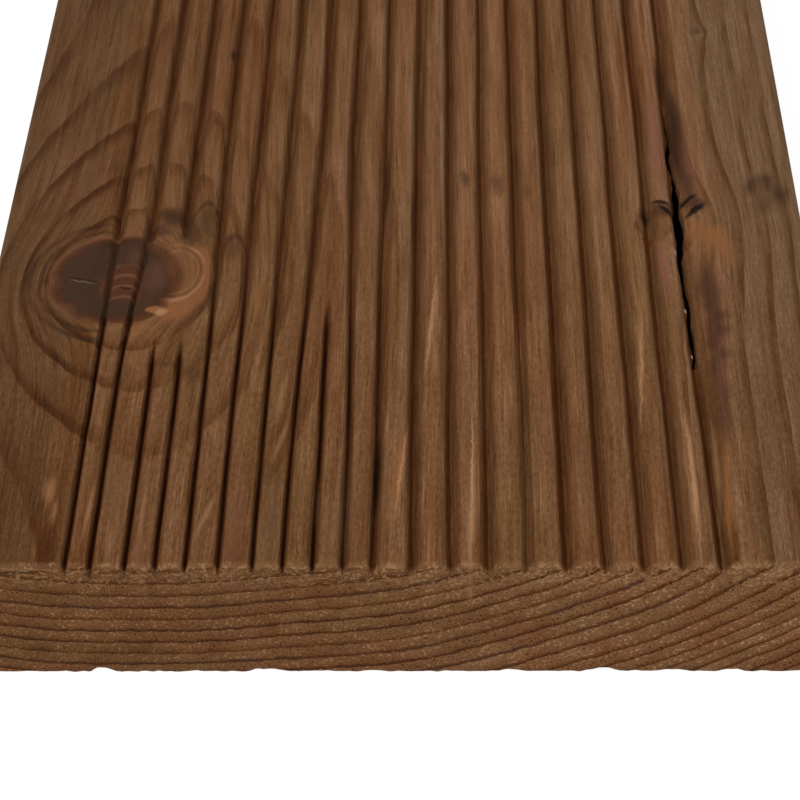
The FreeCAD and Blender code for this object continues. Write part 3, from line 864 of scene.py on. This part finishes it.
PATCHES = (
    (54.6, 75.6, 4.2, 4.4, 0, ORANGE, 0.9),
    (57.4, 72.0, 2.6, 7.5, 14, ORANGE, 0.7),
    (53.9, 62.0, 2.6, 12.0, 0, PURPLE, 0.8),
    (54.2, 50.0, 2.6, 12.0, 0, PURPLE, 0.8),
    (53.8, 36.0, 2.2, 16.0, 0, PURPLE, 0.65),
    (55.0, 56.0, 1.8, 14.0, 0, PURPLE, 0.5),
    (47.6, 82.0, 3.0, 3.0, 0, PURPLE, 0.8),
    (53.6, 83.8, 3.4, 2.8, -30, PURPLE, 0.9),
    (52.6, 88.0, 1.6, 8.0, 4, PURPLE, 0.75),
    (44.1, 81.3, 1.5, 3.6, 0, BLACK, 1.0),
    (44.3, 75.0, 1.4, 1.8, 0, RUST, 1.0),
    (43.0, 77.5, 1.2, 2.4, 0, RUST, 0.8),
    (64.0, 88.0, 1.6, 3.2, 0, DARK, 0.75),
    (66.8, 89.5, 1.8, 3.6, 0, DARK, 0.8),
    (69.6, 87.0, 1.7, 5.4, 0, DARK, 0.8),
    (67.0, 83.5, 3.6, 4.6, 0, DARK, 0.35),
    (11.5, 91.0, 1.3, 3.5, 0, DARK, 0.6),
    (17.5, 89.5, 1.9, 4.5, 0, DARK, 0.5),
    (23.0, 87.0, 1.6, 4.0, 0, DARK, 0.3),
    (-34.2, 129.2, 1.0, 2.4, 0, BLACK, 0.85),
    (58.3, 135.0, 1.3, 1.6, 0, DARK, 0.75),
    (-41.5, 81.0, 4.4, 3.6, 0, DARK, 0.75),
    (-44.0, 77.5, 3.2, 2.4, 0, PURPLE, 0.7),
    (-38.6, 77.5, 2.0, 6.5, 0, DARK, 0.7),
    (-35.6, 79.5, 2.7, 6.5, 0, DARK, 0.45),
    (-30.4, 72.0, 2.2, 4.0, 0, PURPLE, 0.5),
    (-31.0, 75.5, 1.9, 1.2, 0, DARK, 0.4),
    (-51.5, 74.0, 4.4, 1.4, 0, DARK, 0.7),
    (-46.5, 75.2, 3.6, 1.2, 0, DARK, 0.6),
    (-38.6, 57.0, 3.6, 2.6, 12, ORANGE, 0.45),
    (-45.5, 52.5, 4.0, 1.8, 0, ORANGE, 0.35),
    (-40.0, 44.0, 3.5, 1.0, 0, DARK, 0.4),
    (-34.5, 41.0, 2.2, 2.8, 0, DARK, 0.4),
    (-45.5, 42.0, 1.0, 3.0, 0, DARK, 0.4),
    (-43.4, 65.5, 3.0, 6.0, 0, ROSE, 0.2),
    (-47.6, 71.0, 2.0, 4.0, 0, ROSE, 0.12),
    (-25.0, 8.0, 2.4, 15.0, -2, ROSE, 0.3),
    (-40.0, 3.5, 1.6, 5.0, 0, ROSE, 0.3),
    (-36.5, 24.0, 1.8, 9.0, 0, ROSE, 0.2),
    (-19.5, 9.0, 2.4, 13.0, -2, ASH, 0.35),
    (-45.5, 17.0, 2.4, 8.0, 0, ASH, 0.35),
    (-8.0, 12.0, 2.0, 14.0, 0, ASH, 0.35),
    (30.0, 20.0, 2.4, 20.0, 0, ASH, 0.25),
)


FINE_MARKS = (
    (48.3, 81.9, 0.8, 2.6, 45, BLACK, 1.0),
    (47.4, 84.2, 0.7, 2.2, 80, BLACK, 0.9),
    (53.4, 81.9, 1.0, 3.4, -45, BLACK, 1.0),
    (52.4, 84.8, 0.7, 2.8, -50, BLACK, 0.95),
    # A fine check across the knot's left flat: a black line of painted shadow with a faint pale line beside it.
    (-56.4, 64.7, 3.4, 0.25, -12, BLACK, 0.7),
    (-56.2, 64.1, 3.2, 0.18, -12, RESIN, 0.14),
    (-48.6, 62.6, 1.6, 0.5, 0, BLACK, 0.8),
    (-42.7, 57.1, 1.9, 1.1, 0, ORANGE, 1.0),
    (-41.6, 56.4, 1.5, 1.2, 25, TAN, 0.85),
    (-52.8, 62.8, 0.5, 3.0, 0, RUST, 0.5),
    (12.3, 18.0, 0.24, 19.0, -1, TAN, 0.85),
    (47.5, 18.0, 0.24, 18.0, 0, TAN, 0.9),
    (5.6, 54.0, 0.22, 15.0, -4, TAN, 0.8),
    (0.9, 20.0, 0.24, 13.0, -5, TAN, 0.8),
    (41.0, 42.0, 0.2, 17.0, -4, TAN, 0.7),
    (49.3, 71.3, 0.7, 0.9, 30, RESIN, 1.0),
    (49.9, 66.5, 0.35, 0.8, 0, RESIN, 0.7),
    (49.8, 57.5, 0.5, 0.7, 0, RESIN, 0.9),
    (50.2, 46.5, 0.6, 0.6, 0, RESIN, 0.9),
)


def soft_ovals(place_x, place_y, marks):
    """Share and mean colour of soft edged ovals at every vertex.

    The share is what is left when each oval's share has covered some of the bare wood. The
    colour is the mean of the ovals' own, each weighted by e to the power of less 1.5 times
    its distance squared.
    """
    bare = np.ones_like(place_x)
    weights = np.full_like(place_x, 1e-9)
    colours = np.zeros((len(place_x), 3))
    for middle_x, middle_y, half_x, half_y, turned, colour, share in marks:
        cos, sin = math.cos(math.radians(turned)), math.sin(math.radians(turned))
        off_x, off_y = place_x - middle_x, place_y - middle_y
        out = np.hypot((off_x * cos + off_y * sin) / half_x, (off_y * cos - off_x * sin) / half_y)
        bare = bare * (1 - share * (1 - eased(out, 0.25, 1.0)))
        weight = share * np.exp(-1.5 * np.minimum(out, 12) ** 2)
        weights = weights + weight
        colours = colours + weight[:, None] * np.array(colour)
    return 1 - bare, colours / weights[:, None]


on_top = at_z > THICKNESS - 9
wobble = 0.35 * lumps(91, at_x / 5, at_y / 9)
streak_share, streak_colour = soft_ovals(at_x + wobble, at_y, STREAKS)
patch_wobble = 0.6 * lumps(92, at_x / 1.7, at_y / 1.9)
patch_share, patch_colour = soft_ovals(at_x + patch_wobble, at_y + 0.6 * lumps(93, at_x / 1.9, at_y / 1.7), PATCHES)
streaks = at_vertices("streaks", streak_share * on_top) * (0.55 + fibre * 0.9)
wood = streaks.paint(wood, at_vertices("streak_colour", streak_colour))
patches = at_vertices("patches", patch_share * on_top) * (0.7 + fibre * 0.6)
wood = patches.paint(wood, at_vertices("patch_colour", patch_colour))

# Rings that come up through the tops of the ribs as dark arches: the middle, the top, half
# the width, the height and how much shows.
ARCHES = (
    (-35.6, 85.0, 2.6, 5.5, 0.6),
    (-30.0, 75.8, 2.6, 5.0, 0.55),
    (-36.0, 108.5, 2.6, 11.0, 0.35),
)

OUT_OF_SIGHT = 1000
swirl_x = spot.noise((1.2, 1.2, 1.2), 1.0) * 0.9 - 0.45
swirl_y = spot.noise((1.1, 1.4, 1.1), 1.0) * 0.9 - 0.45
ragged_x, ragged_y = x + swirl_x + upward.math("LESS_THAN", 0.5) * OUT_OF_SIGHT, y + swirl_y
for middle_x, top_y, half_x, height, share in ARCHES:
    across = ragged_x.scaled(1 / half_x, -middle_x / half_x)
    arch = (across * across).scaled(height, ragged_y).peak(top_y, 1.5) * abs(across).ramp(1.15, 0.8, share)
    wood = arch.paint(wood, DARK)
for middle_x, middle_y, half_x, half_y, turned, colour, share in FINE_MARKS:
    cos, sin = math.cos(math.radians(turned)), math.sin(math.radians(turned))
    middle_across = (middle_x * cos + middle_y * sin) / half_x
    middle_along = (middle_y * cos - middle_x * sin) / half_y
    across = ragged_x.scaled(cos / half_x, ragged_y.scaled(sin / half_x, -middle_across))
    along = ragged_y.scaled(cos / half_y, ragged_x.scaled(-sin / half_y, -middle_along))
    wood = across.scaled(across, along * along).ramp(1.0, 0.06, share).paint(wood, colour)

# The check's walls deep in the split are painted near black, as painted shade.
inside = below_face.ramp(2.75, 3.1) * x.plateau(46, 54, 0.5) * long_grain
wood = inside.paint(wood, shown(10, 6, 4))

# Along the left margin the saw left a pale lip on the arris; the dark line under it is painted shadow.
margin_end = x.ramp(-52, -57) * end_grain
wavy_z = z + swirl_y * 0.5
wood = (wavy_z.peak(27.6, 0.45) * margin_end * 0.5).paint(wood, shown(140, 104, 76))
wood = (wavy_z.peak(26.8, 0.4) * margin_end * 0.8).paint(wood, shown(44, 24, 12))
worn = y.ramp(1.5, 0.5)
wood = (worn * upward * 0.35).paint(wood, shown(134, 98, 66))
scraps = rays.noise((1.2, 0.6, 1.0), 1.0, 0.7).ramp(0.54, 0.62) * z.ramp(21.5, 25.5) * worn * 0.7
wood = scraps.paint(wood, shown(150, 114, 80))

softwood.node_tree.links.new(wood.output, softwood_shader.inputs["Base Color"])
roughness = 0.62 + (fibre - 0.5) * 0.25 + end_grain * 0.15
softwood.node_tree.links.new(roughness.output, softwood_shader.inputs["Roughness"])
height = fibre * long_grain * 0.3 + grit * end_grain * 0.4
bump = start.node("ShaderNodeBump", inputs={"Height": height, "Distance": MM, "Strength": 1.0})
softwood.node_tree.links.new(bump.output, softwood_shader.inputs["Normal"])
board_mesh.materials.append(softwood)

print("faces", len(board_mesh.polygons), "triangles", sum(len(face.vertices) - 2 for face in board_mesh.polygons))
